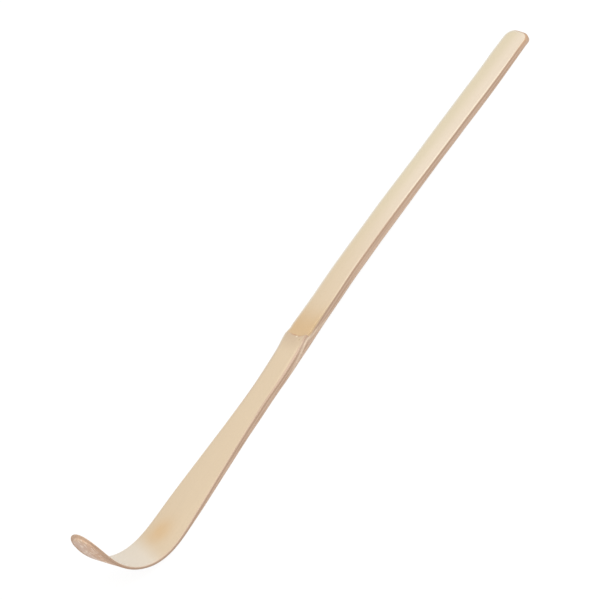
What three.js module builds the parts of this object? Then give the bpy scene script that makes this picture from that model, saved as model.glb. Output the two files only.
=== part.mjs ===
// Bamboo tea scoop: one split strip of bamboo, thinned and bent by heat at its end into a small bowl.
// Millimetres, +Z up. The scoop lies on its back, face up, the butt towards +X and the tip towards -X.
// The origin is on the table under the middle of its length.
import * as THREE from "three";

// Lengths along the strip, from butt to tip
const handleLength = 103.3;
const bladeLength = 55.1;
const bendLength = 36.7;

// Turns of the strip's face in degrees, rising towards the tip, and the stretch that each turn takes
const handleBow = -2.25;
const nodeKink = -5.7;
const kinkLead = 5.6;
const kinkLength = 8;
const waistRise = 5.2;
const waistGap = 2.4;
const waistLength = 22;
const bladeFall = -1.4;
const fallGap = 21.4;
const fallLength = 30;
const bendTurn = 95.8;
const tipEasing = -6.4;
const easingGap = 10.5;

// Widths of the face
const buttWidth = 6.9;
const gripWidth = 6.4;
const gripAt = 61;
const nodeWidth = 6.6;
const bladeWidth = 11.6;
const flareGap = 14.1;
const flareLength = 53.9;

// Thicknesses
const buttThickness = 2.05;
const gripThickness = 2.8;
const gripThickeningLength = 22;
const nodeThickness = 3.4;
const swellLead = 28;
const swellLength = 28;
const bladeThickness = 2.7;
const waistThinningLength = 18;
const tipThickness = 0.9;
const thinningGap = 21;
const thinningLength = 70;

// Low swelling that the knife leaves under the node
const swellingHeight = 0.2;
const swellingLead = 1.8;
const swellingHalfLength = 4;

// Outline of the two ends, seen from above
const buttCornerRadius = 2.45;
const tipRoundLength = 8.4;
const tipRoundPower = 1.93;

// Ridge and scar across the face at the node
const ridgeHeight = 0.26;
const ridgeRise = 0.8;
const ridgeFall = 2.5;
const scarDepth = 0.1;
const scarLead = 1.9;
const scarHalfLength = 0.8;

// Cross-section: the face keeps the round of the culm, and the sides lean in below it, far more at the tip
const culmRadius = 52;
const faceEdgeRadius = 0.22;
const sideLean = 0.3;
const tipLean = 0.65;
const tipLeanGap = 12;
const tipLeanLength = 14;
const backEdgeRadius = 0.55;
const buttEndRadius = 0.35;

// Depth shaved off the back where the butt and the heel touch the table
const restFlatDepth = 0.12;

// Spacing of the cross-sections along the strip
const handleStep = 2.5;
const nodeStep = 0.5;
const nodeReach = 5;
const bendStep = 1.5;
const endSteps = 12;
const traceStep = 0.25;

// The last cross-section stands this far short of the tip's point, so that it still has a width
const tipEndGap = 0.01;

// The search for the slope at which the scoop rests, in degrees and in halvings
const steepestSlope = 45;
const slopeHalvings = 50;

// Share of its radius by which the middle of a round edge lies inside the sharp corner, each way
const roundInset = 1 - Math.SQRT1_2;

const nodeAt = handleLength;
const bendAt = nodeAt + bladeLength;
const stripLength = bendAt + bendLength;
const { smoothstep, lerp, degToRad, clamp } = THREE.MathUtils;

// Share of a smooth change that starts at one station and takes a given length
const ease = (s, from, length) => smoothstep(s, from, from + length);

// Height of a quarter circle, from 0 at its foot to its radius at the far end
const quarter = (s, radius) => Math.sqrt(Math.max(radius ** 2 - Math.max(radius - s, 0) ** 2, 0));

// Evenly spaced stations from one place up to the next, without the last
function spaced(from, to, step) {
  const count = Math.max(Math.round((to - from) / step), 1);
  return Array.from({ length: count }, (_, i) => lerp(from, to, i / count));
}

// Stations of the cross-sections: close at the ends and at the node, wider between them
function stations() {
  const round = (i) => i / endSteps * Math.PI / 2;
  const butt = Array.from({ length: endSteps }, (_, i) => buttCornerRadius * (1 - Math.cos(round(i))));
  const tipRoundAt = stripLength - tipRoundLength;
  const tip = Array.from({ length: endSteps }, (_, i) => tipRoundAt + tipRoundLength * Math.sin(round(i)));
  return [
    ...butt,
    ...spaced(buttCornerRadius, nodeAt - nodeReach, handleStep),
    ...spaced(nodeAt - nodeReach, nodeAt + nodeReach, nodeStep),
    ...spaced(nodeAt + nodeReach, bendAt, handleStep),
    ...spaced(bendAt, tipRoundAt, bendStep),
    ...tip,
    stripLength - tipEndGap,
  ];
}

// Width of the face before its ends are rounded
function fullWidth(s) {
  return buttWidth
    + (gripWidth - buttWidth) * ease(s, 0, gripAt)
    + (nodeWidth - gripWidth) * ease(s, gripAt, nodeAt - gripAt)
    + (bladeWidth - nodeWidth) * ease(s, nodeAt + flareGap, flareLength);
}

// Width of the face: the butt has round corners, and the tip narrows as a power curve
function faceWidth(s) {
  const tipShare = clamp(1 - (stripLength - s) / tipRoundLength, 0, 1);
  const tipTaper = (1 - tipShare ** tipRoundPower) ** (1 / tipRoundPower);
  return fullWidth(s) * tipTaper - 2 * (buttCornerRadius - quarter(s, buttCornerRadius));
}

// Thickness of the strip, with the swelling under the node as a bell
function thickness(s) {
  const pastSwelling = (s - nodeAt + swellingLead) / swellingHalfLength;
  return buttThickness + swellingHeight * Math.exp(-(pastSwelling ** 2))
    + (gripThickness - buttThickness) * ease(s, 0, gripThickeningLength)
    + (nodeThickness - gripThickness) * ease(s, nodeAt - swellLead, swellLength)
    + (bladeThickness - nodeThickness) * ease(s, nodeAt, waistThinningLength)
    + (tipThickness - bladeThickness) * ease(s, nodeAt + thinningGap, thinningLength);
}

// Height of the node's ridge, less the scar on its butt side, above the plain face
function nodeRelief(s) {
  const past = s - nodeAt;
  const ridge = ridgeHeight * Math.exp(-((past / (past < 0 ? ridgeRise : ridgeFall)) ** 2));
  return ridge - scarDepth * Math.exp(-(((past + scarLead) / scarHalfLength) ** 2));
}

// How far each side leans in from the face to the back
function leanAt(s) {
  return sideLean * thickness(s) / gripThickness + tipLean * ease(s, bendAt + tipLeanGap, tipLeanLength);
}

// Slope of the face in radians, given the slope at the butt
function heading(s, buttSlope) {
  return degToRad(buttSlope
    + handleBow * ease(s, 0, handleLength)
    + nodeKink * ease(s, nodeAt - kinkLead, kinkLength)
    + waistRise * ease(s, nodeAt + waistGap, waistLength)
    + bladeFall * ease(s, nodeAt + fallGap, fallLength)
    + bendTurn * ease(s, bendAt, bendLength)
    + tipEasing * ease(s, bendAt + easingGap, bendLength - easingGap));
}

// The face's middle line as points at the stations, with the slope at each
function faceLine(places, buttSlope) {
  let x = 0;
  let z = 0;
  return places.map((s, i) => {
    const from = i ? places[i - 1] : 0;
    const count = Math.ceil((s - from) / traceStep);
    for (let k = 0; k < count; k += 1) {
      const slope = heading(lerp(from, s, (k + 0.5) / count), buttSlope);
      x -= Math.cos(slope) * (s - from) / count;
      z += Math.sin(slope) * (s - from) / count;
    }
    return { s, x, z, slope: heading(s, buttSlope) };
  });
}

// Lowest height of the back over a stretch of the strip
function lowestBack(line, within) {
  const back = ({ s, z, slope }) => z - thickness(s) * Math.cos(slope);
  return Math.min(...line.filter(({ s }) => within(s)).map(back));
}

// Slope at the butt with which the butt and the heel of the bend touch the table together
function restingSlope(places) {
  let low = -steepestSlope;
  let high = steepestSlope;
  for (let i = 0; i < slopeHalvings; i += 1) {
    const slope = (low + high) / 2;
    const line = faceLine(places, slope);
    const buttIsHigher = lowestBack(line, (s) => s < nodeAt) > lowestBack(line, (s) => s > nodeAt);
    if (buttIsHigher) low = slope;
    else high = slope;
  }
  return (low + high) / 2;
}

// Half of a cross-section, from the middle of the face round one side to the middle of the back,
// as pairs of a distance across the strip and a height above the face's middle line
function halfSection(s) {
  const half = faceWidth(s) / 2;
  const endDrop = buttEndRadius - quarter(s, buttEndRadius);
  const top = nodeRelief(s) - endDrop;
  const back = endDrop - thickness(s);
  const edge = Math.min(faceEdgeRadius, (top - back) / 4, half / 3);
  const backEdge = Math.min(backEdgeRadius, (top - back) / 3, half / 3);
  const lean = Math.min(leanAt(s), half / 4);
  const face = (y) => [y, top - y ** 2 / (2 * culmRadius)];
  const rim = face(half)[1];
  const backHalf = half - lean;
  return [
    face(0),
    face(half / 3),
    face(half * 2 / 3),
    [half - edge, rim],
    [half - edge * roundInset, rim - edge * roundInset],
    [half, rim - edge],
    [backHalf, back + backEdge],
    [backHalf - backEdge * roundInset, back + backEdge * roundInset],
    [backHalf - backEdge, back],
    [(backHalf - backEdge) / 2, back],
    [0, back],
  ];
}

// A closed cross-section, going round from the face's middle by the far side and the back
function section(s) {
  const half = halfSection(s);
  const mirrored = half.slice(1, -1).reverse().map(([y, n]) => [-y, n]);
  return [...half, ...mirrored];
}

// Places a cross-section square to the face's line, shaved flat where it would dip into the table
function placedRing({ s, x, z, slope }, tableHeight) {
  return section(s).map(([y, n]) => new THREE.Vector3(
    x + n * Math.sin(slope),
    y,
    Math.max(z + n * Math.cos(slope) - tableHeight, 0),
  ));
}

// A closed skin over a row of rings, with each end closed by a fan from its middle
function skin(rings) {
  const around = rings[0].length;
  const points = rings.flat();
  const faces = [];
  for (let i = 0; i + 1 < rings.length; i += 1) {
    for (let j = 0; j < around; j += 1) {
      const next = (j + 1) % around;
      const [near, far] = [i * around, (i + 1) * around];
      faces.push(near + j, near + next, far + next, near + j, far + next, far + j);
    }
  }
  const fan = (ring, first, outward) => {
    const middle = ring.reduce((sum, p) => sum.add(p), new THREE.Vector3()).divideScalar(around);
    points.push(middle);
    for (let j = 0; j < around; j += 1) {
      const rim = [first + j, first + (j + 1) % around];
      faces.push(points.length - 1, ...(outward ? rim : rim.reverse()));
    }
  };
  fan(rings[0], 0, false);
  fan(rings.at(-1), (rings.length - 1) * around, true);
  const geometry = new THREE.BufferGeometry().setFromPoints(points);
  geometry.setIndex(faces);
  geometry.computeVertexNormals();
  return geometry;
}

// The scoop, moved so that the middle of its length is over the origin
function makeScoop() {
  const places = stations();
  const line = faceLine(places, restingSlope(places));
  const tableHeight = lowestBack(line, () => true) + restFlatDepth;
  const geometry = skin(line.map((place) => placedRing(place, tableHeight)));
  const bamboo = new THREE.MeshStandardMaterial({ color: 0xe4cdaf, roughness: 0.5, metalness: 0 });
  const scoop = new THREE.Mesh(geometry, bamboo);
  scoop.name = "bamboo_scoop";
  geometry.computeBoundingBox();
  scoop.position.x = -(geometry.boundingBox.min.x + geometry.boundingBox.max.x) / 2;
  return scoop;
}

const teaScoop = new THREE.Group();
teaScoop.add(makeScoop());

export default teaScoop;
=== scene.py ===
"""A bamboo tea scoop: one split strip of bamboo, carved, and bent by heat at its end into a small bowl.

The strip is worked out as it was before it was bent: a station along it, a distance across it and a depth
below its skin. That unbent place of every point is kept on the mesh, and the bamboo's fibres follow it.
Sizes of the scoop are in millimetres along the strip, measured from the butt. Blender's own are in metres.
"""

import logging
import math
from dataclasses import dataclass, field
from enum import Enum
from typing import Iterable, Mapping, Optional, Sequence, Union

import bpy
import numpy as np
import numpy.typing as npt
from mathutils import Matrix, Vector


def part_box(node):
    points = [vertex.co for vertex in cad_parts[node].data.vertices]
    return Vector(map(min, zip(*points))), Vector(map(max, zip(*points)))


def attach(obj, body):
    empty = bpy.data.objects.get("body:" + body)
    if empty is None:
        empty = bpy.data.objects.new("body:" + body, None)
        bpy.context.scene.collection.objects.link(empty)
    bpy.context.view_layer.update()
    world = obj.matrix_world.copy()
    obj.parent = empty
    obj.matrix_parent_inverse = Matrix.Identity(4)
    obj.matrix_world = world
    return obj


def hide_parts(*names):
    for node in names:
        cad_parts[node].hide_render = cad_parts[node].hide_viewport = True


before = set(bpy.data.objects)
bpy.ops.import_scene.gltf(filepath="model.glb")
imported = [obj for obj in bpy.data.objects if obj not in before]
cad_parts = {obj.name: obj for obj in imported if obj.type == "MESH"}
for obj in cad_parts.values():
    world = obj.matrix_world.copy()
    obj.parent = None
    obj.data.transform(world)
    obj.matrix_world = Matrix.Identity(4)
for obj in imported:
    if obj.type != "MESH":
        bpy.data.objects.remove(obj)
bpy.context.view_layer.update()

Array = npt.NDArray[np.float64]
Span = tuple[float, float]
Point = tuple[float, float, float]
Shade = tuple[int, int, int]

MM = 0.001
SCOOP_NODE = "bamboo_scoop"
SCOOP_PIECE = "carved_tea_scoop"
BODY = "root"
UNBENT = "unbent_place"
CUT = "cut_place"

SCREEN_WHITE = 255.0
SCREEN_TOE_END = 0.04045
SCREEN_TOE_SLOPE = 12.92
SCREEN_LIFT = 0.055
SCREEN_POWER = 2.4
NOISE_MIDDLE = 0.5

log = logging.getLogger("tea_scoop")


def smooth(share: Array) -> Array:
    """The share held between 0 and 1, eased at both ends: three times its square less twice its cube."""
    held = np.clip(share, 0.0, 1.0)
    return held * held * (3.0 - 2.0 * held)


def bell(distance: Array, reach: Union[float, Array]) -> Array:
    """A bell curve: e to the power of minus the squared ratio of the distance to the reach."""
    return np.exp(-((distance / reach) ** 2))


def rounding(inset: Array, radius: Union[float, Array]) -> Array:
    """How far a round edge lies below its face, at a distance in from the edge.

    The radius less the height of its quarter circle, which is the root of the squared radius less the
    square of what is left of the radius at that distance.

    Args:
        inset: distances in from the edge, from 0.
        radius: radius of the round edge.

    Returns:
        The radius at the edge itself, falling to 0 at a radius from it and beyond.
    """
    left = np.maximum(radius - inset, 0.0)
    return radius - np.sqrt(np.maximum(radius**2 - left**2, 0.0))


def waves(places: Array, lengths: Sequence[float]) -> Array:
    """A slow wander: the mean of a sine for each wavelength, with that number as its phase too."""
    return sum(np.sin(2.0 * np.pi * places / length + length) for length in lengths) / len(lengths)


def direction(azimuth: float, elevation: float) -> Vector:
    """The way out from the scoop at an azimuth from the front and an elevation, both in degrees."""
    turn, rise = math.radians(azimuth), math.radians(elevation)
    return Vector((math.sin(turn) * math.cos(rise), -math.cos(turn) * math.cos(rise), math.sin(rise)))


def added(name: str, data: bpy.types.ID) -> bpy.types.Object:
    """Makes an object of the data and puts it in the scene.

    Args:
        name: the object's name.
        data: its mesh, camera or light.

    Returns:
        The object.
    """
    thing = bpy.data.objects.new(name, data)
    bpy.context.scene.collection.objects.link(thing)
    return thing


@dataclass(frozen=True)
class Change:
    """A smooth change of the strip's size or slope over one stretch of its length."""

    amount: float
    start: float
    length: float

    def at(self, s: Array) -> Array:
        """The amount times the eased share of the stretch that lies behind each station."""
        return self.amount * smooth((s - self.start) / self.length)


@dataclass(frozen=True)
class StripShape:
    """The bent strip before its edges are cut: its line, widths and thicknesses from butt to tip."""

    handle_length: float = 103.3
    blade_length: float = 55.1
    bend_length: float = 36.7

    handle_bow: float = -2.25
    node_kink: float = -5.7
    kink_lead: float = 5.6
    kink_length: float = 8.0
    waist_rise: float = 5.2
    waist_gap: float = 2.4
    waist_length: float = 22.0
    blade_fall: float = -1.4
    fall_gap: float = 21.4
    fall_length: float = 30.0
    bend_turn: float = 95.8
    tip_easing: float = -6.4
    easing_gap: float = 10.5

    butt_width: float = 6.9
    grip_width: float = 6.4
    grip_at: float = 61.0
    node_width: float = 6.6
    blade_width: float = 11.6
    flare_gap: float = 14.1
    flare_length: float = 53.9

    butt_thickness: float = 2.05
    grip_thickness: float = 2.8
    grip_thickening_length: float = 22.0
    node_thickness: float = 3.4
    swell_lead: float = 28.0
    swell_length: float = 28.0
    blade_thickness: float = 2.7
    waist_thinning_length: float = 18.0
    tip_thickness: float = 0.9
    thinning_gap: float = 21.0
    thinning_length: float = 70.0
    swelling_height: float = 0.2
    swelling_lead: float = 1.8
    swelling_half_length: float = 4.0

    culm_radius: float = 52.0

    rest_flat_depth: float = 0.12
    trace_step: float = 0.05
    steepest_slope: float = 45.0
    slope_halvings: int = 50

    @property
    def node_at(self) -> float:
        """Station of the bamboo's node."""
        return self.handle_length

    @property
    def bend_at(self) -> float:
        """Station where the bend of the bowl starts."""
        return self.node_at + self.blade_length

    @property
    def length(self) -> float:
        """Length of the whole strip."""
        return self.bend_at + self.bend_length

    def heading(self, s: Array, butt_slope: float) -> Array:
        """Slope of the face towards the tip: the slope at the butt plus every turn behind the station.

        Args:
            s: stations along the strip.
            butt_slope: slope at the butt, in degrees.

        Returns:
            The slopes in radians.
        """
        turns = (
            Change(self.handle_bow, 0.0, self.handle_length),
            Change(self.node_kink, self.node_at - self.kink_lead, self.kink_length),
            Change(self.waist_rise, self.node_at + self.waist_gap, self.waist_length),
            Change(self.blade_fall, self.node_at + self.fall_gap, self.fall_length),
            Change(self.bend_turn, self.bend_at, self.bend_length),
            Change(self.tip_easing, self.bend_at + self.easing_gap, self.bend_length - self.easing_gap),
        )
        return np.radians(butt_slope + sum(turn.at(s) for turn in turns))

    def width(self, s: Array) -> Array:
        """Width of the face before its ends are rounded: the butt's width plus each change.

        Args:
            s: stations along the strip.

        Returns:
            The widths.
        """
        return (
            self.butt_width
            + Change(self.grip_width - self.butt_width, 0.0, self.grip_at).at(s)
            + Change(self.node_width - self.grip_width, self.grip_at, self.node_at - self.grip_at).at(s)
            + Change(self.blade_width - self.node_width, self.node_at + self.flare_gap,
                     self.flare_length).at(s)
        )

    def thickness(self, s: Array) -> Array:
        """Thickness of the strip: the butt's thickness plus each change, and the swelling under the node.

        Args:
            s: stations along the strip.

        Returns:
            The thicknesses.
        """
        return (
            self.butt_thickness
            + self.swelling_height * bell(s - self.node_at + self.swelling_lead, self.swelling_half_length)
            + Change(self.grip_thickness - self.butt_thickness, 0.0, self.grip_thickening_length).at(s)
            + Change(self.node_thickness - self.grip_thickness, self.node_at - self.swell_lead,
                     self.swell_length).at(s)
            + Change(self.blade_thickness - self.node_thickness, self.node_at,
                     self.waist_thinning_length).at(s)
            + Change(self.tip_thickness - self.blade_thickness, self.node_at + self.thinning_gap,
                     self.thinning_length).at(s)
        )

    def face_line(self, s: Array, butt_slope: float) -> tuple[Array, Array, Array]:
        """The middle line of the face: the running sum of short steps, each down its own slope.

        Args:
            s: stations along the strip.
            butt_slope: slope at the butt, in degrees.

        Returns:
            The line's x and z, with the butt at 0, and its slope at each station.
        """
        fine = np.arange(0.0, self.length + self.trace_step, self.trace_step)
        middles = self.heading((fine[1:] + fine[:-1]) / 2.0, butt_slope)
        x = np.concatenate(([0.0], np.cumsum(-np.cos(middles) * self.trace_step)))
        z = np.concatenate(([0.0], np.cumsum(np.sin(middles) * self.trace_step)))
        return np.interp(s, fine, x), np.interp(s, fine, z), self.heading(s, butt_slope)

    def back_heights(self, s: Array, butt_slope: float) -> Array:
        """Height of the back under each station: the line's height less the sloping thickness."""
        _, z, slope = self.face_line(s, butt_slope)
        return z - self.thickness(s) * np.cos(slope)

    def resting_slope(self) -> float:
        """Slope at the butt with which the butt and the heel of the bend touch the table together.

        Found by halving the range: where the butt is the higher of the two, the slope has to grow.

        Returns:
            The slope in degrees.
        """
        s = np.arange(0.0, self.length, self.trace_step)
        low, high = -self.steepest_slope, self.steepest_slope
        for _ in range(self.slope_halvings):
            slope = (low + high) / 2.0
            back = self.back_heights(s, slope)
            if back[s < self.node_at].min() > back[s > self.node_at].min():
                low = slope
            else:
                high = slope
        return (low + high) / 2.0

    def table_height(self, butt_slope: float) -> float:
        """Height of the table: that of the back's lowest point, raised by the depth shaved flat."""
        s = np.arange(0.0, self.length, self.trace_step)
        return self.back_heights(s, butt_slope).min() + self.rest_flat_depth


@dataclass(frozen=True)
class NodeRing:
    """The bamboo's node: a low ridge across the face, with the sheath's scar on its butt side."""

    at: float
    ridge_height: float = 0.26
    ridge_rise: float = 0.8
    ridge_fall: float = 2.5
    scar_depth: float = 0.1
    scar_lead: float = 1.9
    scar_half_length: float = 0.8
    groove_depth: float = 0.07
    groove_lead: float = 0.4
    groove_half_length: float = 0.13
    line_skew: float = 0.13
    line_bend: float = 0.17
    bend_from: float = 0.45
    line_ripple: float = 0.08
    ripple_lengths: tuple[float, ...] = (2.3, 4.1)
    side_swell: float = 0.05
    swell_rise: float = 1.4
    swell_fall: float = 3.0

    def past(self, s: Array, y: Array) -> Array:
        """Distance past the ridge towards the tip.

        The ridge crosses a little aslant, with a ripple, and bends back towards the butt on the near side, by
        the square of the distance beyond where the bend starts.

        Args:
            s: stations along the strip.
            y: distances across it.

        Returns:
            The distances, negative on the butt side.
        """
        aslant = self.line_skew * y + self.line_ripple * waves(y, self.ripple_lengths)
        return s - self.at + aslant + self.line_bend * np.maximum(-y - self.bend_from, 0.0) ** 2

    def relief(self, past: Array) -> Array:
        """Height of the skin at the node above the plain face.

        A bell with a short rise and a long fall for the ridge, less a wide bell for the scar's hollow and a
        narrow one for its groove.

        Args:
            past: distances past the ridge, towards the tip.

        Returns:
            The heights.
        """
        ridge = self.ridge_height * bell(past, np.where(past < 0.0, self.ridge_rise, self.ridge_fall))
        hollow = self.scar_depth * bell(past + self.scar_lead, self.scar_half_length)
        groove = self.groove_depth * bell(past + self.groove_lead, self.groove_half_length)
        return ridge - hollow - groove

    def swelling(self, s: Array) -> Array:
        """How far each long edge stands out at the node: a bell with a short rise and a longer fall."""
        past = s - self.at
        return self.side_swell * bell(past, np.where(past < 0.0, self.swell_rise, self.swell_fall))


class Side(Enum):
    """A long side of the scoop, as the sign of its distance across the strip."""

    FAR = 1.0
    NEAR = -1.0


@dataclass(frozen=True)
class KnifeWork:
    """What the carver's knife leaves: the cut edges, and small differences from a perfect strip."""

    strip: StripShape
    face_edge_radius: float = 0.22
    side_lean: float = 0.3
    back_edge_radius: float = 0.55
    thin_face_share: float = 0.25
    thin_back_share: float = 1.0 / 3.0
    tip_lean: float = 0.65
    tip_lean_gap: float = 12.0
    tip_lean_length: float = 14.0
    butt_corner_radius: float = 2.45
    butt_bevel_depth: float = 0.85
    butt_bevel_width: float = 1.0
    butt_bevel_reach: float = 3.0
    far_butt_share: float = 0.15
    butt_back_share: float = 0.35
    tip_round_length: float = 8.4
    tip_round_power: float = 1.93

    butt_drift: float = 0.28
    drifts: tuple[Change, ...] = (
        Change(-0.28, 4.0, 13.0), Change(0.28, 42.0, 20.0), Change(-0.38, 79.0, 14.0), Change(0.1, 97.0, 8.0),
    )
    wander: float = 0.03
    wander_lengths: tuple[float, ...] = (61.0, 37.0, 23.0)
    width_loss: float = 0.07
    width_lengths: tuple[float, ...] = (47.0, 29.0, 13.0)

    facet_depth: float = 0.035
    facet_length: float = 17.0
    facet_skew: float = 2.3
    facet_wander: float = 0.35
    facet_waves: tuple[float, ...] = (2.7, 4.3)
    scrape_depth: float = 0.012
    scrape_width: float = 0.85
    scrape_drift: tuple[float, ...] = (71.0, 33.0)

    bevel_width: float = 0.75
    bevel_depth: float = 0.3
    bevel_gap: float = 1.2
    bevel_length: float = 3.0
    bevel_reach: float = 19.0
    far_bevel_share: float = 0.4

    def centre(self, s: Array) -> Array:
        """How far the face's middle lies to the far side: the butt's drift, its changes and a wander."""
        steady = self.butt_drift + sum(drift.at(s) for drift in self.drifts)
        return steady + self.wander * waves(s, self.wander_lengths)

    def lost_width(self, s: Array) -> Array:
        """Width that an uneven cut takes off each side: half of the most, more or less by a slow wave."""
        return self.width_loss * (1.0 + waves(s, self.width_lengths)) / 2.0

    def bevel(self, s: Array, y: Array, inset: Array) -> Array:
        """Depth of the knife's bevel along the face's edge, on the tip side of the node.

        A straight slope over the bevel's width, which starts just past the node and fades along the blade. It
        is shallower on the far side.

        Args:
            s: stations along the strip.
            y: distances across it.
            inset: distances in from the outline.

        Returns:
            The depths below the plain face.
        """
        start = Change(1.0, self.strip.node_at + self.bevel_gap, self.bevel_length).at(s)
        end = Change(1.0, self.strip.node_at + self.bevel_gap + self.bevel_length, self.bevel_reach).at(s)
        share = np.where(y * Side.NEAR.value > 0.0, 1.0, self.far_bevel_share)
        slope = np.maximum(1.0 - inset / self.bevel_width, 0.0)
        return self.bevel_depth * share * (start - end) * slope

    def butt_bevel(self, s: Array, y: Array, inset: Array) -> Array:
        """Depth of the bevel round the butt's end.

        A straight slope over the bevel's width, which fades along the sides and towards the far corner.

        Args:
            s: stations along the strip.
            y: distances across it.
            inset: distances in from the outline.

        Returns:
            The depths below the plain face.
        """
        fade = 1.0 - smooth(s / self.butt_bevel_reach)
        share = 1.0 - (1.0 - self.far_butt_share) * smooth(0.5 + y / self.strip.butt_width)
        return self.butt_bevel_depth * fade * share * np.maximum(1.0 - inset / self.butt_bevel_width, 0.0)

    def lean(self, s: Array) -> Array:
        """How far the side leans in from the face to the back.

        In step with the thickness, less at the butt's end, and far more at the tip, where the back is pared
        away to a thin edge.

        Args:
            s: stations along the strip.

        Returns:
            The distances.
        """
        side = self.side_lean * self.strip.thickness(s) / self.strip.grip_thickness
        pared = Change(self.tip_lean, self.strip.bend_at + self.tip_lean_gap, self.tip_lean_length).at(s)
        return side * self.edge_share(s) + pared

    def edge_share(self, s: Array) -> Array:
        """Share of the back's full edge: a part of it at the butt's end, easing into all of it."""
        return self.butt_back_share + (1.0 - self.butt_back_share) * smooth(s / self.butt_bevel_reach)

    def face_radius(self, s: Array) -> Array:
        """Radius of the face's edge, less where the strip is thin."""
        return np.minimum(self.face_edge_radius, self.strip.thickness(s) * self.thin_face_share)

    def back_radius(self, s: Array) -> Array:
        """Radius of the back's edge, less where the strip is thin and at the butt's end."""
        full = np.minimum(self.back_edge_radius, self.strip.thickness(s) * self.thin_back_share)
        return full * self.edge_share(s)

    def facets(self, s: Array, y: Array) -> Array:
        """Depth of shallow knife cuts that meet in crests across the strip.

        One less the size of a cosine along the strip. Its crests slant with the distance across, and their
        spacing wanders.

        Args:
            s: stations along the strip.
            y: distances across it.

        Returns:
            The depths, from 0 at a crest.
        """
        place = (s + self.facet_skew * y) / self.facet_length
        place = place + self.facet_wander * waves(place, self.facet_waves)
        return self.facet_depth * (1.0 - np.abs(np.cos(np.pi * place)))

    def scrapes(self, s: Array, y: Array) -> Array:
        """Depth of fine lengthwise scrapes: a squared sine across the strip that drifts along it."""
        drift = waves(s, self.scrape_drift)
        return self.scrape_depth * np.sin(np.pi * (y / self.scrape_width + drift)) ** 2


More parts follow.
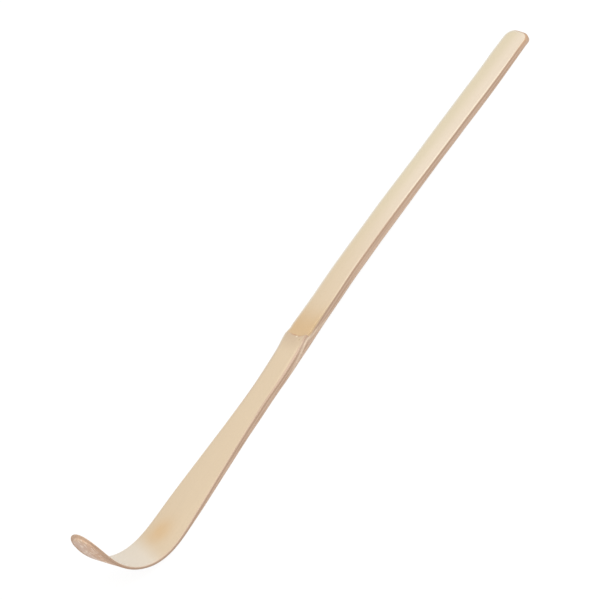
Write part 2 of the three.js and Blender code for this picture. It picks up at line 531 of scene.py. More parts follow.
@dataclass(frozen=True)
class TeaScoop:
    """The whole scoop: a carved skin over the bent strip, as one closed mesh."""

    strip: StripShape = field(default_factory=StripShape)
    handle_step: float = 0.34
    node_step: float = 0.11
    node_reach: float = 4.5
    blade_step: float = 0.3
    butt_steps: int = 26
    tip_steps: int = 64
    butt_gap: float = 0.002
    tip_gap: float = 0.01
    arc_steps: int = 7
    wall_steps: int = 9
    columns: int = 58
    seam_share: float = 0.5
    wall_share: float = 0.7
    smallest: float = 1e-6

    @property
    def node(self) -> NodeRing:
        """The node's ring on this strip."""
        return NodeRing(at=self.strip.node_at)

    @property
    def knife(self) -> KnifeWork:
        """The carving on this strip."""
        return KnifeWork(strip=self.strip)

    def stations(self) -> Array:
        """Stations of the rings: close at the node and at both ends, and wider between them.

        Both ends take squares of even steps, so that the rings crowd where the edge turns over. The first
        and the last stand a gap short of the strip's ends, where a ring would have no width. No two of them
        meet, and the blade's last is at least half a step from the tip's first.

        Returns:
            The stations from butt to tip.
        """
        strip, knife = self.strip, self.knife
        near_node = (strip.node_at - self.node_reach, strip.node_at + self.node_reach)
        round_at = strip.length - knife.tip_round_length
        butt_steps = np.linspace(0.0, 1.0, self.butt_steps, endpoint=False) ** 2
        tip_steps = np.linspace(1.0, 0.0, self.tip_steps) ** 2
        return np.concatenate((
            self.butt_gap + (knife.butt_corner_radius - self.butt_gap) * butt_steps,
            np.arange(knife.butt_corner_radius, near_node[0], self.handle_step),
            np.arange(near_node[0], near_node[1], self.node_step),
            np.arange(near_node[1], round_at - self.blade_step / 2.0, self.blade_step),
            strip.length - self.tip_gap - (knife.tip_round_length - self.tip_gap) * tip_steps,
        ))

    def half_width(self, s: Array) -> Array:
        """Half of the carved width before the ends are rounded."""
        return self.strip.width(s) / 2.0 + self.node.swelling(s) - self.knife.lost_width(s)

    def outline(self, s: Array) -> Array:
        """Half of the width as cut: the butt's corners are quarter circles and the tip a power curve.

        Args:
            s: stations along the strip.

        Returns:
            The half widths.
        """
        power = self.knife.tip_round_power
        taper = (1.0 - self.tip_share(s) ** power) ** (1.0 / power)
        return self.half_width(s) * taper - rounding(s, self.knife.butt_corner_radius)

    def tip_share(self, s: Array) -> Array:
        """Share of the tip's round stretch that lies behind each station, 0 before it and 1 at its end."""
        return np.clip(1.0 - (self.strip.length - s) / self.knife.tip_round_length, 0.0, 1.0)

    def inset(self, s: Array, y: Array) -> Array:
        """Distance in from the outline, square to it.

        At the tip the power curve's value is one on the outline, and one less the value, over the size of its
        slope, is the distance. At the butt it is the distance to a rectangle with round corners. The shorter
        of the two holds.

        Args:
            s: stations along the strip.
            y: distances from the strip's middle.

        Returns:
            The distances, 0 on the outline.
        """
        knife, half = self.knife, self.half_width(s)
        power, reach = knife.tip_round_power, knife.tip_round_length
        along, across = self.tip_share(s), np.abs(y) / half
        value = np.maximum((along**power + across**power) ** (1.0 / power), self.smallest)
        slope = np.hypot((along / value) ** (power - 1.0) / reach, (across / value) ** (power - 1.0) / half)
        slope = np.maximum(slope, self.smallest)
        tip = (1.0 - value) / slope
        radius = knife.butt_corner_radius
        beyond = (radius - s, np.abs(y) - (half - radius))
        corner = np.hypot(np.maximum(beyond[0], 0.0), np.maximum(beyond[1], 0.0))
        butt = radius - corner - np.minimum(np.maximum(beyond[0], beyond[1]), 0.0)
        return np.maximum(np.minimum(tip, butt), 0.0)

    def skin_height(self, s: Array, y: Array) -> Array:
        """Height of the bamboo's skin over the face line: the culm's round, as a parabola, and the node."""
        fall = y**2 / (2.0 * self.strip.culm_radius)
        return self.node.relief(self.node.past(s, y)) - fall

    def bevelled(self, s: Array, y: Array, inset: Array) -> Array:
        """Height of the skin less the knife's bevels."""
        return self.skin_height(s, y) - self.knife.bevel(s, y, inset) - self.knife.butt_bevel(s, y, inset)

    def top(self, s: Array, y: Array) -> Array:
        """Height of the carved face: the bevelled skin less the round edge."""
        inset = self.inset(s, y)
        return self.bevelled(s, y, inset) - rounding(inset, self.knife.face_radius(s))

    def under(self, s: Array, y: Array) -> Array:
        """Height of the carved side and back.

        The side is a straight slope from the round edge of the face to that of the back, over the distance
        that it leans in. Further in lies the back with its facets and scrapes.

        Args:
            s: stations along the strip.
            y: distances from the strip's middle.

        Returns:
            The heights over the face line.
        """
        knife, inset = self.knife, self.inset(s, y)
        back_radius, lean = knife.back_radius(s), knife.lean(s)
        floor = knife.facets(s, y) + knife.scrapes(s, y) - self.strip.thickness(s)
        rim = self.bevelled(s, y, inset) - knife.face_radius(s)
        share = np.minimum(inset / lean, 1.0)
        back = floor + rounding(np.maximum(inset - lean, 0.0), back_radius)
        return np.where(share < 1.0, rim + (floor + back_radius - rim) * share, back)

    def columns_across(self, s: Array) -> tuple[Array, Array]:
        """Distances across the strip of the points of each ring, on the face and on the side and back.

        Round edges take even steps of angle, the side takes even steps, and the rest is spaced evenly. Where
        the outline slants, its edge bands widen with it, up to a share of the width.

        Args:
            s: stations of the rings, as a column.

        Returns:
            One row of distances for the face and one for the side and back, from the near to the far outline.
        """
        back_radius, lean = self.knife.back_radius(s), self.knife.lean(s)
        half = self.outline(s)
        slant = np.hypot(1.0, np.gradient(half[:, 0], s[:, 0]))[:, None]
        arc = 1.0 - np.cos(np.linspace(0.0, np.pi / 2.0, self.arc_steps + 1))
        wall = np.linspace(0.0, 1.0, self.wall_steps, endpoint=False)
        face_band = np.minimum(self.knife.face_radius(s) * slant, half * self.seam_share)
        back_band = np.minimum((lean + back_radius) * slant, half * self.wall_share)
        lean_share = lean / (lean + back_radius)
        under_arc = lean_share + (1.0 - lean_share) * arc
        face_side = half - face_band * arc
        under_side = half - back_band * np.concatenate((wall * lean_share, under_arc), axis=1)
        return tuple(self.mirrored(side) for side in (face_side, under_side))

    def mirrored(self, side: Array) -> Array:
        """A row across the strip: the near side's points, even steps over the middle, and the far side's.

        Args:
            side: one side's distances from the strip's middle, from the outline in.

        Returns:
            The distances across, from the near to the far outline.
        """
        near, far = Side.NEAR.value, Side.FAR.value
        spare = self.columns + 1 - 2 * side.shape[1]
        middle = side[:, -1:] * np.linspace(near, far, spare + 2)[1:-1]
        return np.concatenate((near * side, middle, far * side[:, ::-1]), axis=1)

    def rings(self) -> tuple[Array, Array, Array]:
        """Every ring of the skin in the strip's own measures.

        Returns:
            The stations, the distances across and the heights. Each row is a ring, which goes over the face
            from the near outline and back under it.
        """
        s = self.stations()[:, None]
        over, below = self.columns_across(s)
        below = below[:, ::-1]
        heights = np.concatenate((self.top(s, over), self.under(s, below[:, 1:-1])), axis=1)
        across = np.concatenate((over, below[:, 1:-1]), axis=1)
        return np.broadcast_to(s, across.shape), across, heights

    def placed(self, s: Array, y: Array, height: Array) -> Array:
        """Points of the bent scoop on the table, with the middle of its length over the origin.

        A height is laid off square to the face line, and what would dip into the table is shaved flat. The
        face's drift to one side shears the strip, and so fades to nothing at the back.

        Args:
            s: stations.
            y: distances across the strip.
            height: heights over the face line.

        Returns:
            The points in metres, one in each row.
        """
        slope_at_butt = self.strip.resting_slope()
        x, z, slope = self.strip.face_line(s, slope_at_butt)
        points = np.stack((
            x + height * np.sin(slope),
            y + self.knife.centre(s) * (1.0 + height / self.strip.thickness(s)),
            np.maximum(z + height * np.cos(slope) - self.strip.table_height(slope_at_butt), 0.0),
        ), axis=-1) * MM
        low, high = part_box(SCOOP_NODE)
        points[..., 0] += (low[0] + high[0] - points[..., 0].min() - points[..., 0].max()) / 2.0
        return points.reshape(-1, 3)

    def faces(self, rows: int, around: int) -> list[list[int]]:
        """Faces of the skin: squares between neighbouring rings, and both ends closed.

        An end is closed by joining each point of the face to the one below it.

        Args:
            rows: number of rings.
            around: number of points in a ring.

        Returns:
            The faces as lists of point numbers, all facing out.
        """
        ring = np.arange(around)
        following = (ring + 1) % around
        starts = (np.arange(rows - 1) * around)[:, None]
        squares = np.stack((starts + ring, starts + following, starts + around + following,
                            starts + around + ring), axis=-1).reshape(-1, 4)
        over = np.arange(1, self.columns - 1)
        cap = np.stack((over, over + 1, around - over - 1, around - over), axis=-1)
        ends = np.array([[0, 1, around - 1], [self.columns - 1, self.columns, self.columns + 1]])
        last = (rows - 1) * around
        return [
            *squares.tolist(),
            *cap[:, ::-1].tolist(), *ends[:, ::-1].tolist(),
            *(cap + last).tolist(), *(ends + last).tolist(),
        ]

    def build(self) -> bpy.types.Object:
        """Makes the scoop's mesh, which keeps where each of its points lay in the unbent strip.

        One attribute holds its station, distance across and depth below the skin. The other holds its
        distance in from the outline, its depth as a share of the thickness, and its distance past the
        node's ridge.

        Returns:
            The scoop's object.
        """
        s, y, height = self.rings()
        mesh = bpy.data.meshes.new(SCOOP_PIECE)
        mesh.from_pydata(self.placed(s, y, height).tolist(), [], self.faces(*s.shape))
        mesh.shade_smooth()
        depth = self.skin_height(s, y) - height
        unbent = np.stack((s, y, depth), axis=-1)
        cut = np.stack((self.inset(s, y), depth / self.strip.thickness(s), self.node.past(s, y)), axis=-1)
        for name, values in ((UNBENT, unbent), (CUT, cut)):
            mesh.attributes.new(name, "FLOAT_VECTOR", "POINT").data.foreach_set("vector", values.ravel())
        return added(SCOOP_PIECE, mesh)


class Signal:
    """A shader socket's value as it varies over a surface, so that shader maths reads as Python."""

    def __init__(self, tree: "ShaderTree", socket: Optional[bpy.types.NodeSocket]) -> None:
        """Keeps the socket, none for an output node, and the tree that its Math nodes go into."""
        self.tree = tree
        self.socket = socket

    def __add__(self, other: "Operand") -> "Signal":
        """This value plus the other."""
        return self.tree.math("ADD", self, other)

    def __radd__(self, other: "Operand") -> "Signal":
        """The other plus this value."""
        return self.tree.math("ADD", other, self)

    def __sub__(self, other: "Operand") -> "Signal":
        """This value less the other."""
        return self.tree.math("SUBTRACT", self, other)

    def __rsub__(self, other: "Operand") -> "Signal":
        """The other less this value."""
        return self.tree.math("SUBTRACT", other, self)

    def __mul__(self, other: "Operand") -> "Signal":
        """This value times the other."""
        return self.tree.math("MULTIPLY", self, other)

    def __rmul__(self, other: "Operand") -> "Signal":
        """The other times this value."""
        return self.tree.math("MULTIPLY", other, self)

    def __truediv__(self, other: "Operand") -> "Signal":
        """This value over the other."""
        return self.tree.math("DIVIDE", self, other)

    def __rtruediv__(self, other: "Operand") -> "Signal":
        """The other over this value."""
        return self.tree.math("DIVIDE", other, self)

    def __abs__(self) -> "Signal":
        """This value without its sign."""
        return self.tree.math("ABSOLUTE", self)

    def greater(self, other: "Operand") -> "Signal":
        """The greater of this value and the other."""
        return self.tree.math("MAXIMUM", self, other)

    def between(self, low: float, high: float) -> "Signal":
        """The eased share of this value's way from low to high, 0 before and 1 after."""
        return self.tree.node("MapRange", {"interpolation_type": "SMOOTHSTEP"},
                              {"Value": self, "From Min": low, "From Max": high})

    def fading(self, low: float, high: float) -> "Signal":
        """What is left of this value's way from low to high, 1 before and 0 after."""
        return 1.0 - self.between(low, high)

    def bell(self, middle: float, reach: float) -> "Signal":
        """A bell curve round the middle: e to the power of minus the squared ratio to the reach."""
        ratio = (self - middle) / reach
        return self.tree.math("EXPONENT", ratio * ratio * -1.0)

    def axes(self) -> tuple["Signal", "Signal", "Signal"]:
        """The three parts of this vector."""
        parts = self.tree.node("SeparateXYZ", {}, {"Vector": self}).socket.node.outputs
        return tuple(Signal(self.tree, part) for part in parts)

    def over(self, lengths: Sequence[float]) -> "Signal":
        """This vector over a length for each axis."""
        return self.tree.node("VectorMath", {"operation": "DIVIDE"}, {"Vector": self, "Vector_001": lengths})

    def noise(self, swell: Sequence[float], detail: float = 2.0) -> "Signal":
        """Smooth noise about its middle over this vector, whose swells have a length along each axis."""
        return self.tree.node("TexNoise", {}, {"Vector": self.over(swell), "Scale": 1.0, "Detail": detail})

    def uneven(self, swell: Sequence[float], detail: float = 2.0) -> "Signal":
        """The same noise, about 0."""
        return self.noise(swell, detail) - NOISE_MIDDLE

    def specks(self, spacing: Sequence[float], core: float, rim: float) -> "Signal":
        """Scattered spots over this vector, 1 inside a core and 0 beyond a rim, as shares of the spacing."""
        sockets = {"Vector": self.over(spacing), "Scale": 1.0}
        return self.tree.node("TexVoronoi", {"feature": "F1"}, sockets, "Distance").fading(core, rim)

    def grey(self) -> "Signal":
        """The grey of this value."""
        return self.tree.node("CombineColor", {}, {"Red": self, "Green": self, "Blue": self})

    def tinted(self, factor: "Operand") -> "Signal":
        """This colour made lighter or darker by a factor."""
        return self.tree.node("VectorMath", {"operation": "SCALE"}, {"Vector": self, "Scale": factor})

    def blend(self, first: "Colour", second: "Colour") -> "Signal":
        """Two colours mixed, with this value as the share of the second."""
        a, b = (colour if isinstance(colour, Signal) else paint(colour) for colour in (first, second))
        sockets = {"Factor_Float": self, "A_Color": a, "B_Color": b}
        return self.tree.node("Mix", {"data_type": "RGBA"}, sockets, "Result_Color")


Operand = Union[Signal, float]
Input = Union[Signal, float, Sequence[float]]
Colour = Union[Signal, Shade]


def paint(shade: Shade) -> tuple[float, float, float, float]:
    """A colour from its screen values, as the linear values that a socket takes.

    Dark values are divided, and the others are lifted and raised to a power.

    Args:
        shade: red, green and blue, each up to 255.

    Returns:
        The linear red, green, blue and alpha, each up to 1.
    """
    screen = [channel / SCREEN_WHITE for channel in shade]
    linear = [c / SCREEN_TOE_SLOPE if c <= SCREEN_TOE_END
              else ((c + SCREEN_LIFT) / (1.0 + SCREEN_LIFT)) ** SCREEN_POWER for c in screen]
    return (*linear, 1.0)


def coated(colour: Signal, coats: Iterable[tuple[Signal, Colour]]) -> Signal:
    """Lays coats over a colour, one after another.

    Args:
        colour: the colour below.
        coats: each coat's share and its colour.

    Returns:
        The colour on top.
    """
    for share, coat in coats:
        colour = share.blend(colour, coat)
    return colour


class ShaderTree:
    """A node tree that is written as expressions."""

    def __init__(self, owner: Union[bpy.types.Material, bpy.types.World]) -> None:
        """Empties the owner's node tree and keeps it."""
        owner.use_nodes = True
        self.tree = owner.node_tree
        self.tree.nodes.clear()

    def node(self, kind: str, settings: Mapping[str, object], sockets: Mapping[str, Input],
             output: str = "") -> Signal:
        """Adds one node of any type.

        Args:
            kind: the node's type, without its ShaderNode prefix.
            settings: the node's own settings, which are set first.
            sockets: values or links for its sockets, by identifier or name.
            output: identifier or name of the wanted output, or nothing for the first.

        Returns:
            The wanted output, if the node has any.
        """
        node = self.tree.nodes.new("ShaderNode" + kind)
        for name, value in settings.items():
            setattr(node, name, value)
        inputs, outputs = (
            {socket.name: socket for socket in reversed(side)}
            | {socket.identifier: socket for socket in side}
            for side in (node.inputs, node.outputs)
        )
        for name, value in sockets.items():
            if isinstance(value, Signal):
                self.tree.links.new(value.socket, inputs[name])
            else:
                inputs[name].default_value = value
        first = node.outputs[0] if node.outputs else None
        return Signal(self, outputs[output] if output else first)

    def math(self, operation: str, *values: Operand) -> Signal:
        """A Math node on one value or more."""
        sockets = {"Value" if i == 0 else f"Value_{i:03d}": value for i, value in enumerate(values)}
        return self.node("Math", {"operation": operation}, sockets)


@dataclass(frozen=True)
class GrainPlace:
    """Where a point of the surface lay in the unbent strip, in millimetres, as shader values.

    The vector is the station, the distance across and the depth below the skin. The others are those three,
    the distance in from the outline, the share of the thickness above the point, and the distance past the
    node's ridge.
    """

    vector: Signal
    along: Signal
    across: Signal
    depth: Signal
    inset: Signal
    layer: Signal
    past: Signal

    @classmethod
    def read(cls, tree: ShaderTree) -> "GrainPlace":
        """Reads the place from the mesh's two attributes."""
        unbent, cut = (tree.node("Attribute", {"attribute_name": name}, {}, "Vector")
                       for name in (UNBENT, CUT))
        return cls(unbent, *unbent.axes(), *cut.axes())


@dataclass(frozen=True)
class Stretch:
    """A bell along the strip, across it or down from its skin: its middle, its reach and its strength."""

    middle: float
    reach: float
    strength: float = 1.0

    def share(self, value: Signal) -> Signal:
        """The bell curve at a value, times the strength."""
        return value.bell(self.middle, self.reach) * self.strength


@dataclass(frozen=True)
class Spot:
    """A small round spot in the skin, a mark or a painted highlight: its place past the node and across, its
    reach, strength and colour.
    """

    past: float
    across: float
    reach: float
    strength: float
    shade: Shade

    def share(self, place: GrainPlace) -> Signal:
        """Share of the spot: a bell along the strip times one across it."""
        along = place.past.bell(self.past, self.reach)
        return along * place.across.bell(self.across, self.reach) * self.strength


@dataclass(frozen=True)
class BambooFinish:
    """Cured bamboo, shaded in layers: its pale skin, the dark rind under that, and the flesh with its fibres.

    The grain is solid and runs along the strip, so that every cut shows its own fibres.
    """

    strip: StripShape
    node: NodeRing
    name: str = "cured_bamboo"

    # painted light: the butt's skin painted lighter on the near half and darker on the far half, as if lit
    # from the near side
    butt_near: Shade = (236, 219, 196)
    butt_far: Shade = (227, 212, 182)
    blade_skin: Shade = (224, 202, 171)
    # painted highlight: a cream line along the near edge of the face
    near_edge: Shade = (246, 229, 205)
    far_edge: Shade = (240, 236, 226)
    node_toast: Shade = (216, 184, 141)
    past_node: Shade = (210, 186, 157)
    bend_toast: Shade = (223, 189, 143)
    # painted light: the bowl's upturned face painted paler and greyer, where it faces the light
    bowl_skin: Shade = (232, 219, 200)
    scar: Shade = (186, 134, 102)
    butt_cut: Shade = (206, 170, 138)
    rind: Shade = (187, 155, 129)
    flesh: Shade = (211, 183, 160)
    fibre: Shade = (184, 152, 127)
    node_flesh: Shade = (240, 218, 193)
    pared_near: Shade = (226, 187, 158)
    pared_far: Shade = (229, 200, 181)
    pared_neck: Shade = (217, 175, 143)
    # painted glow: the thin tip's end painted paler and warmer, for light shining through it
    toasted_tip: Shade = (236, 201, 169)
    tip_wall: Shade = (203, 168, 141)
    speckle: Shade = (255, 232, 210)

    lit_across: Span = (-2.2, 1.6)
    paling: Span = (45.0, 100.0)
    # where the painted highlight along the near edge lies, where it ends, and how strong it is
    near_band: Span = (0.15, 0.5)
    near_band_end: Span = (-25.0, -11.0)
    near_share: float = 0.38
    far_line: Stretch = Stretch(0.68, 0.28, 0.036)
    far_band: Span = (0.2, 1.0)
    far_share: float = 0.55
    far_fall: float = 0.9
    far_fall_along: Span = (90.0, 120.0)
    skin_fibres: Point = (34.0, 0.42, 9.0)
    skin_detail: float = 3.0
    skin_clouds: Point = (15.0, 3.2, 9.0)
    fibre_tint: float = 0.06
    cloud_tint: float = 0.04
    toast_rise: Span = (-15.5, -2.7)
    brown_fall: Span = (-0.5, 5.0)
    line_reach: float = 0.16
    scar_width: Stretch = Stretch(-0.3, 1.8, 0.8)
    spots: tuple[Spot, ...] = (
        # painted highlight: a pale glint on the node's ridge; the two after it are a dark pit in a paler ring
        Spot(-0.2, -0.8, 0.24, 0.9, (252, 238, 208)),
        Spot(0.8, -2.1, 0.6, 0.6, (226, 204, 172)),
        Spot(0.8, -2.1, 0.24, 0.8, (192, 164, 130)),
    )
    patch_gap: float = 4.9
    patch_reach: float = 3.8
    patch_width: Stretch = Stretch(0.9, 2.8, 0.6)
    patch_swell: Point = (4.0, 1.6, 9.0)
    # stations where the bowl's painted light comes in, earlier on the far side by the slant
    bowl_start: Span = (166.3, 172.0)
    bowl_slant: float = 0.4

    skin_depth: Span = (0.18, 0.4)
    wrap_bend: Stretch = Stretch(0.0, 8.0, 0.6)
    blade_cut: float = 0.24
    blade_cut_rise: Span = (-1.0, 4.0)
    corner_cut: float = 0.5
    edge_band: Span = (0.2, 0.5)
    corner_end: Span = (0.4, 2.4)
    nearer_cuts: tuple[Stretch, ...] = (
        Stretch(5.0, 9.0, 0.22), Stretch(71.0, 17.0, 0.24), Stretch(121.5, 5.0, 0.2),
    )
    rim_drift: float = 0.12
    rim_swell: Point = (18.0, 60.0, 60.0)
    first_line: Stretch = Stretch(0.74, 0.34)
    line_drift: float = 0.3
    drift_swell: Point = (26.0, 60.0, 60.0)
    node_rise: float = 0.6
    node_rise_end: Span = (0.0, 4.0)
    node_dip: Stretch = Stretch(7.0, 7.0, 0.25)
    node_fade: Stretch = Stretch(2.6, 2.2, 0.8)
    second_line: Stretch = Stretch(0.61, 0.1)
    second_rise: Stretch = Stretch(70.0, 20.0, 0.15)
    second_least: float = 0.15
    second_stretches: tuple[Stretch, ...] = (
        Stretch(12.0, 11.0, 0.8), Stretch(47.0, 4.0, 0.5), Stretch(68.0, 12.0, 0.5), Stretch(87.0, 6.0, 0.8),
        Stretch(98.0, 3.0, 0.5), Stretch(104.2, 1.3, 0.8), Stretch(115.0, 3.5, 0.8), Stretch(125.5, 3.0, 0.8),
        Stretch(134.0, 2.5, 0.9),
    )
    cut_fibres: Point = (24.0, 0.36, 0.36)
    cut_detail: float = 4.0
    cut_tint: float = 0.24
    bundle_spacing: Point = (60.0, 0.6, 0.6)
    bundle_size: Span = (0.12, 0.4)
    bundle_share: float = 0.5
    arch: Stretch = Stretch(0.7, 8.0, 0.9)
    arch_layer: Stretch = Stretch(1.05, 0.42)
    arch_fall: float = 0.18
    torn_fibres: Point = (2.4, 0.3, 0.3)
    torn_noise: Span = (0.42, 0.58)
    torn_tint: float = 0.4
    butt_cut_end: Span = (2.0, 8.0)
    butt_cut_depth: Span = (0.6, 1.0)
    tip_start: Span = (12.0, 20.0)
    neck_start: Span = (3.6, 6.0)
    back_layers: Span = (0.75, 0.94)
    # where the tip's painted glow fades out, and its share on the side wall
    tip_toast: Span = (1.0, 3.4)
    wall_toast: float = 0.4
    speckle_spacing: Point = (1.5, 0.8, 0.8)
    speckle_size: Span = (0.2, 0.48)
    speckle_swell: Point = (4.0, 3.0, 9.0)
    speckle_noise: Span = (0.3, 0.42)
    pared_sides: Span = (-3.0, 3.0)

    skin_relief: float = 0.003
    cut_relief: float = 0.023
    skin_roughness: float = 0.44
    cut_roughness: float = 0.66

    def skin(self, place: GrainPlace) -> Signal:
        """Colour of the bamboo's own skin: palest at the butt, and browner in places.

        At the butt it is painted lighter on the near half and darker on the far half: painted light from the
        near side. It darkens to honey up to the line of the node, is a little brown just past it, has a
        darker tan patch where the bend starts, and is painted paler and greyer in the bowl, as painted light
        on its upturned face. A painted highlight runs as a cream line along the near edge, a pale line runs
        along the far edge, and a thin darker line lies inside the far one. A few small marks lie just past
        the node, one of them a painted highlight on the ridge, and faint fibres and clouds vary it all.

        Args:
            place: the point's place in the strip.

        Returns:
            The colour.
        """
        far = place.across.between(*self.lit_across)
        ahead = place.past.between(*self.toast_rise)
        after = self.past_line(place)
        bowl = (place.along + place.across * self.bowl_slant).between(*self.bowl_start)
        # painted light: lighter near half and darker far half of the skin at the butt
        colour = coated(far.blend(self.butt_near, self.butt_far), (
            (place.along.between(*self.paling), self.blade_skin),
            (ahead * ahead * (1.0 - after), self.node_toast),
            (after * place.past.fading(*self.brown_fall), self.past_node),
            (self.patch(place), self.bend_toast),
            # painted light on the bowl's upturned face
            (bowl, self.bowl_skin),
            # painted highlight along the near edge
            (self.near_line(place) * (1.0 - far), self.near_edge),
            (self.far_line_share(place) * far, self.far_edge),
        ))
        colour = coated(colour.tinted(1.0 - self.far_line.share(place.inset) * far), (
            (self.scar_line(place), self.scar),
            # one of these spots is a painted highlight on the node's ridge
            *((spot.share(place), spot.shade) for spot in self.spots),
        ))
        fibres = place.vector.uneven(self.skin_fibres, self.skin_detail) * self.fibre_tint
        clouds = place.vector.uneven(self.skin_clouds) * self.cloud_tint
        return colour.tinted(1.0 + fibres + clouds)

    def past_line(self, place: GrainPlace) -> Signal:
        """0 on the butt side of the node's line, and 1 on its tip side."""
        line = -self.node.groove_lead
        return place.past.between(line - self.line_reach, line + self.line_reach)

    def near_line(self, place: GrainPlace) -> Signal:
        """Share of the painted highlight, a cream line along the near edge, which ends short of the node."""
        return place.inset.fading(*self.near_band) * place.past.fading(*self.near_band_end) * self.near_share

    def far_line_share(self, place: GrainPlace) -> Signal:
        """Share of the pale line along the far edge, which is fainter past the node."""
        fall = place.along.between(*self.far_fall_along) * self.far_fall
        return place.inset.fading(*self.far_band) * self.far_share * (1.0 - fall)

    def patch(self, place: GrainPlace) -> Signal:
        """Share of the darker tan patch at the bend: a bell along the strip times one across it, made uneven.
        """
        along = place.along.bell(self.strip.bend_at + self.patch_gap, self.patch_reach)
        return along * self.patch_width.share(place.across) * (1.0 + place.vector.noise(self.patch_swell))

    def scar_line(self, place: GrainPlace) -> Signal:
        """Share of the thin brown line in the groove of the node, which fades out to both edges."""
        return place.past.bell(-self.node.groove_lead, self.line_reach) * self.scar_width.share(place.across)

    def stretches(self, place: GrainPlace, parts: Sequence[Stretch]) -> Signal:
        """The sum of several stretches' bells along the strip, each times its strength."""
        return sum(part.share(place.along) for part in parts)

    def wrap(self, place: GrainPlace) -> Signal:
        """How far the layers of the strip bend down over the sides on the butt side of the node's line."""
        return self.wrap_bend.share(place.past) * (1.0 - self.past_line(place))

    def exposed(self, place: GrainPlace) -> Signal:
        """0 on the skin and 1 where a cut goes deep enough to lay the flesh bare.

        The skin reaches further down the sides ahead of the node's line and less far past it, where the near
        corner is cut away. It reaches less far along a few stretches too, which the knife cut nearer.

        Args:
            place: the point's place in the strip.

        Returns:
            The share.
        """
        blade = place.past.between(*self.blade_cut_rise) * self.blade_cut
        corner = self.past_line(place) * place.past.fading(*self.corner_end) * self.corner_cut
        corner = corner * place.across.fading(*self.lit_across)
        nearer = blade + corner + self.stretches(place, self.nearer_cuts)
        nearer = nearer * place.inset.fading(*self.edge_band)
        drift = place.vector.uneven(self.rim_swell) * self.rim_drift
        return (place.depth + nearer + drift - self.wrap(place)).between(*self.skin_depth)

    def lines(self, place: GrainPlace) -> Signal:
        """Share of the dark lines of fibre along the sides.

        The first runs under the skin, dips with the layers ahead of the node, starts again faintly at the
        face past it, and is deepest a little further on. The second runs about a steady share of the way
        down, and shows in stretches.

        Args:
            place: the point's place in the strip.

        Returns:
            The share.
        """
        drift = place.vector.uneven(self.drift_swell) * self.line_drift
        rise = place.past.fading(*self.node_rise_end) * self.node_rise
        past_shift = (self.node_dip.share(place.past) - rise) * self.past_line(place)
        depth = place.depth + self.stretches(place, self.nearer_cuts) + drift
        first = self.first_line.share(depth - self.wrap(place) - past_shift)
        second = self.second_line.share(place.layer + self.second_rise.share(place.along))
        shown = self.second_least + self.stretches(place, self.second_stretches)
        return (first * (1.0 - self.node_fade.share(place.past))).greater(second * shown)

    def pale_arch(self, place: GrainPlace) -> Signal:
        """Share of the pale fibres that arch over the node on the sides, down from it both ways."""
        fall = abs(place.past - self.arch.middle) * self.arch_fall
        return self.arch_layer.share(place.depth - fall) * self.arch.share(place.past)

    def pared_back(self, place: GrainPlace, tip: Signal) -> Signal:
        """Colour of the tip's pared back.

        It is pinker on the far side, and on the near side browner towards the neck.

        Args:
            place: the point's place in the strip.
            tip: its distance from the tip.

        Returns:
            The colour.
        """
        near = place.across.fading(*self.pared_sides)
        back = near.blend(self.pared_far, self.pared_near)
        return (tip.between(*self.neck_start) * near).blend(back, self.pared_neck)

    def cut(self, place: GrainPlace) -> Signal:
        """Colour of the cut sides and back: flesh with dark lines of fibre that run along the strip.

        Pale fibres arch over the node, some torn, and it is browner round the butt. The tip's back is pared,
        with light speckles where the knife opened the fibres, and its thin end is painted paler and warmer, a
        painted glow of light shining through it.

        Args:
            place: the point's place in the strip.

        Returns:
            The colour.
        """
        arch = self.pale_arch(place)
        colour = arch.blend(self.lines(place).blend(self.flesh, self.rind), self.node_flesh)
        torn = place.vector.noise(self.torn_fibres).between(*self.torn_noise) - NOISE_MIDDLE
        at_butt = place.along.fading(*self.butt_cut_end) * place.depth.fading(*self.butt_cut_depth)
        tip = self.strip.length - place.along
        at_tip = tip.fading(*self.tip_start)
        pared = at_tip * place.layer.between(*self.back_layers)
        # painted glow at the thin end of the tip
        glow_share = tip.fading(*self.tip_toast) * (self.wall_toast + pared * (1.0 - self.wall_toast))
        colour = coated(colour.tinted(1.0 + torn * arch * arch * self.torn_tint), (
            (at_butt, self.butt_cut),
            (at_tip, self.tip_wall),
            (pared, self.pared_back(place, tip)),
            (glow_share, self.toasted_tip),
        ))
        grain = place.vector.uneven(self.cut_fibres, self.cut_detail) * self.cut_tint
        bundles = place.vector.specks(self.bundle_spacing, *self.bundle_size) * self.bundle_share
        opened = place.vector.noise(self.speckle_swell).between(*self.speckle_noise)
        speckles = place.vector.specks(self.speckle_spacing, *self.speckle_size)
        return coated(colour.tinted(1.0 + grain), (
            (bundles * (1.0 - pared), self.fibre),
            (speckles * opened * pared, self.speckle),
        ))

    def material(self) -> bpy.types.Material:
        """Makes the material.

        The skin is smoother than the cut flesh, and the flesh's fibres stand out a little.

        Returns:
            The material.
        """
        material = bpy.data.materials.new(self.name)
        tree = ShaderTree(material)
        place = GrainPlace.read(tree)
        exposed = self.exposed(place)
        relief = (self.skin_relief + exposed * (self.cut_relief - self.skin_relief)) * MM
        height = place.vector.noise(self.cut_fibres, self.cut_detail) * relief
        shader = tree.node("BsdfPrincipled", {}, {
            "Base Color": exposed.blend(self.skin(place), self.cut(place)),
            "Roughness": self.skin_roughness + exposed * (self.cut_roughness - self.skin_roughness),
            "Normal": tree.node("Bump", {}, {"Height": height, "Strength": 1.0, "Distance": 1.0}),
        })
        tree.node("OutputMaterial", {}, {"Surface": shader})
        return material


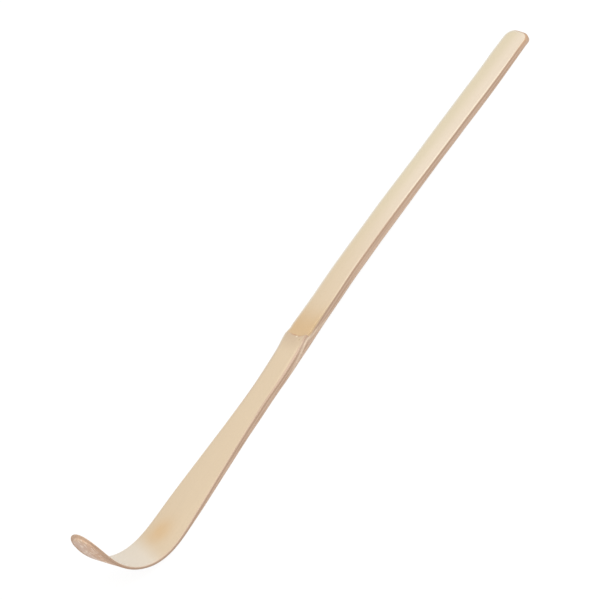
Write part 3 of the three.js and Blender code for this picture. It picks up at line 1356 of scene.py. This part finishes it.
@dataclass(frozen=True)
class PhotoCamera:
    """The photograph's camera: where it stands round the scoop, how it is rolled, and its long lens."""

    azimuth: float = -30.28
    elevation: float = 39.69
    roll: float = -33.98
    distance: float = 1.2
    lens: float = 298.7
    aim: Point = (-0.00487, 0.00082, 0.00877)

    def place(self) -> bpy.types.Object:
        """Makes the camera and sets it as the scene's.

        Returns:
            The camera's object.
        """
        turn, roll = math.radians(self.azimuth), math.radians(self.roll)
        back = direction(self.azimuth, self.elevation)
        level = Vector((math.cos(turn), math.sin(turn), 0.0))
        upright = back.cross(level)
        right = level * math.cos(roll) + upright * math.sin(roll)
        up = upright * math.cos(roll) - level * math.sin(roll)
        camera = added("photo_camera", bpy.data.cameras.new("photo_camera"))
        camera.data.lens = self.lens
        camera.matrix_world = Matrix.Translation(Vector(self.aim) + back * self.distance) @ Matrix(
            (right, up, back)).transposed().to_4x4()
        bpy.context.scene.camera = camera
        return camera


@dataclass(frozen=True)
class Lamp:
    """A square soft light that points at the scoop."""

    name: str
    azimuth: float
    elevation: float
    distance: float
    size: float
    power: float

    def place(self) -> bpy.types.Object:
        """Makes the lamp.

        Returns:
            The lamp's object.
        """
        away = direction(self.azimuth, self.elevation)
        lamp = added(self.name, bpy.data.lights.new(self.name, "AREA"))
        lamp.data.size = self.size
        lamp.data.energy = self.power
        lamp.location = away * self.distance
        lamp.rotation_euler = away.to_track_quat("Z", "Y").to_euler()
        return lamp


@dataclass(frozen=True)
class Studio:
    """A white table in soft, even light.

    The table shows as white, with a faint shadow under the scoop. Light that it throws back up comes from a
    plain pale grey.
    """

    floor_reach: float = 8.0
    floor_grey: float = 0.7
    seen_grey: float = 0.12
    seen_glow: float = 0.925
    sky: float = 0.6
    lamps: tuple[Lamp, ...] = (
        Lamp("key_light", 8.0, 50.0, 1.6, 0.9, 12.6),
        Lamp("tip_light", -80.0, 35.0, 1.6, 0.9, 2.5),
    )

    def white_rays(self, tree: ShaderTree) -> Signal:
        """One for rays that show the background: from the camera, off gloss and through glass."""
        seen, gloss, glass = (tree.node("LightPath", {}, {}, name)
                              for name in ("Is Camera Ray", "Is Glossy Ray", "Is Transmission Ray"))
        return seen.greater(gloss).greater(glass)

    def floor(self) -> bpy.types.Object:
        """Makes the table top.

        Returns:
            The table top's object.
        """
        reach = self.floor_reach
        mesh = bpy.data.meshes.new("table_top")
        corners = [(-reach, -reach, 0.0), (reach, -reach, 0.0), (reach, reach, 0.0), (-reach, reach, 0.0)]
        mesh.from_pydata(corners, [], [(0, 1, 2, 3)])
        material = bpy.data.materials.new("white_table")
        tree = ShaderTree(material)
        seen = self.white_rays(tree)
        shader = tree.node("BsdfPrincipled", {}, {
            "Base Color": (self.floor_grey + seen * (self.seen_grey - self.floor_grey)).grey(),
            "Roughness": 1.0,
            "Specular IOR Level": 0.0,
            "Emission Color": (seen * self.seen_glow).grey(),
            "Emission Strength": 1.0,
        })
        tree.node("OutputMaterial", {}, {"Surface": shader})
        mesh.materials.append(material)
        floor = added("table_top", mesh)
        return floor

    def world(self) -> None:
        """Lights the scene evenly from all round, and shows white."""
        world = bpy.data.worlds.new("white_room")
        bpy.context.scene.world = world
        tree = ShaderTree(world)
        strength = self.sky + self.white_rays(tree) * (1.0 - self.sky)
        shader = tree.node("Background", {}, {"Color": (1.0, 1.0, 1.0, 1.0), "Strength": strength})
        tree.node("OutputWorld", {}, {"Surface": shader})

    def place(self) -> None:
        """Makes the floor, the room's light and the lamps."""
        self.floor()
        self.world()
        for lamp in self.lamps:
            lamp.place()


def main() -> None:
    """Builds the scene in order: the camera, the scoop with its finish, and the studio."""
    logging.basicConfig(level=logging.INFO, format="%(name)s: %(message)s")
    bpy.context.scene.view_settings.view_transform = "Standard"
    PhotoCamera().place()
    carving = TeaScoop()
    scoop = carving.build()
    scoop.data.materials.append(BambooFinish(carving.strip, carving.node).material())
    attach(scoop, BODY)
    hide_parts(SCOOP_NODE)
    log.info("%s has %d points", scoop.name, len(scoop.data.vertices))
    Studio().place()


if __name__ == "__main__":
    main()
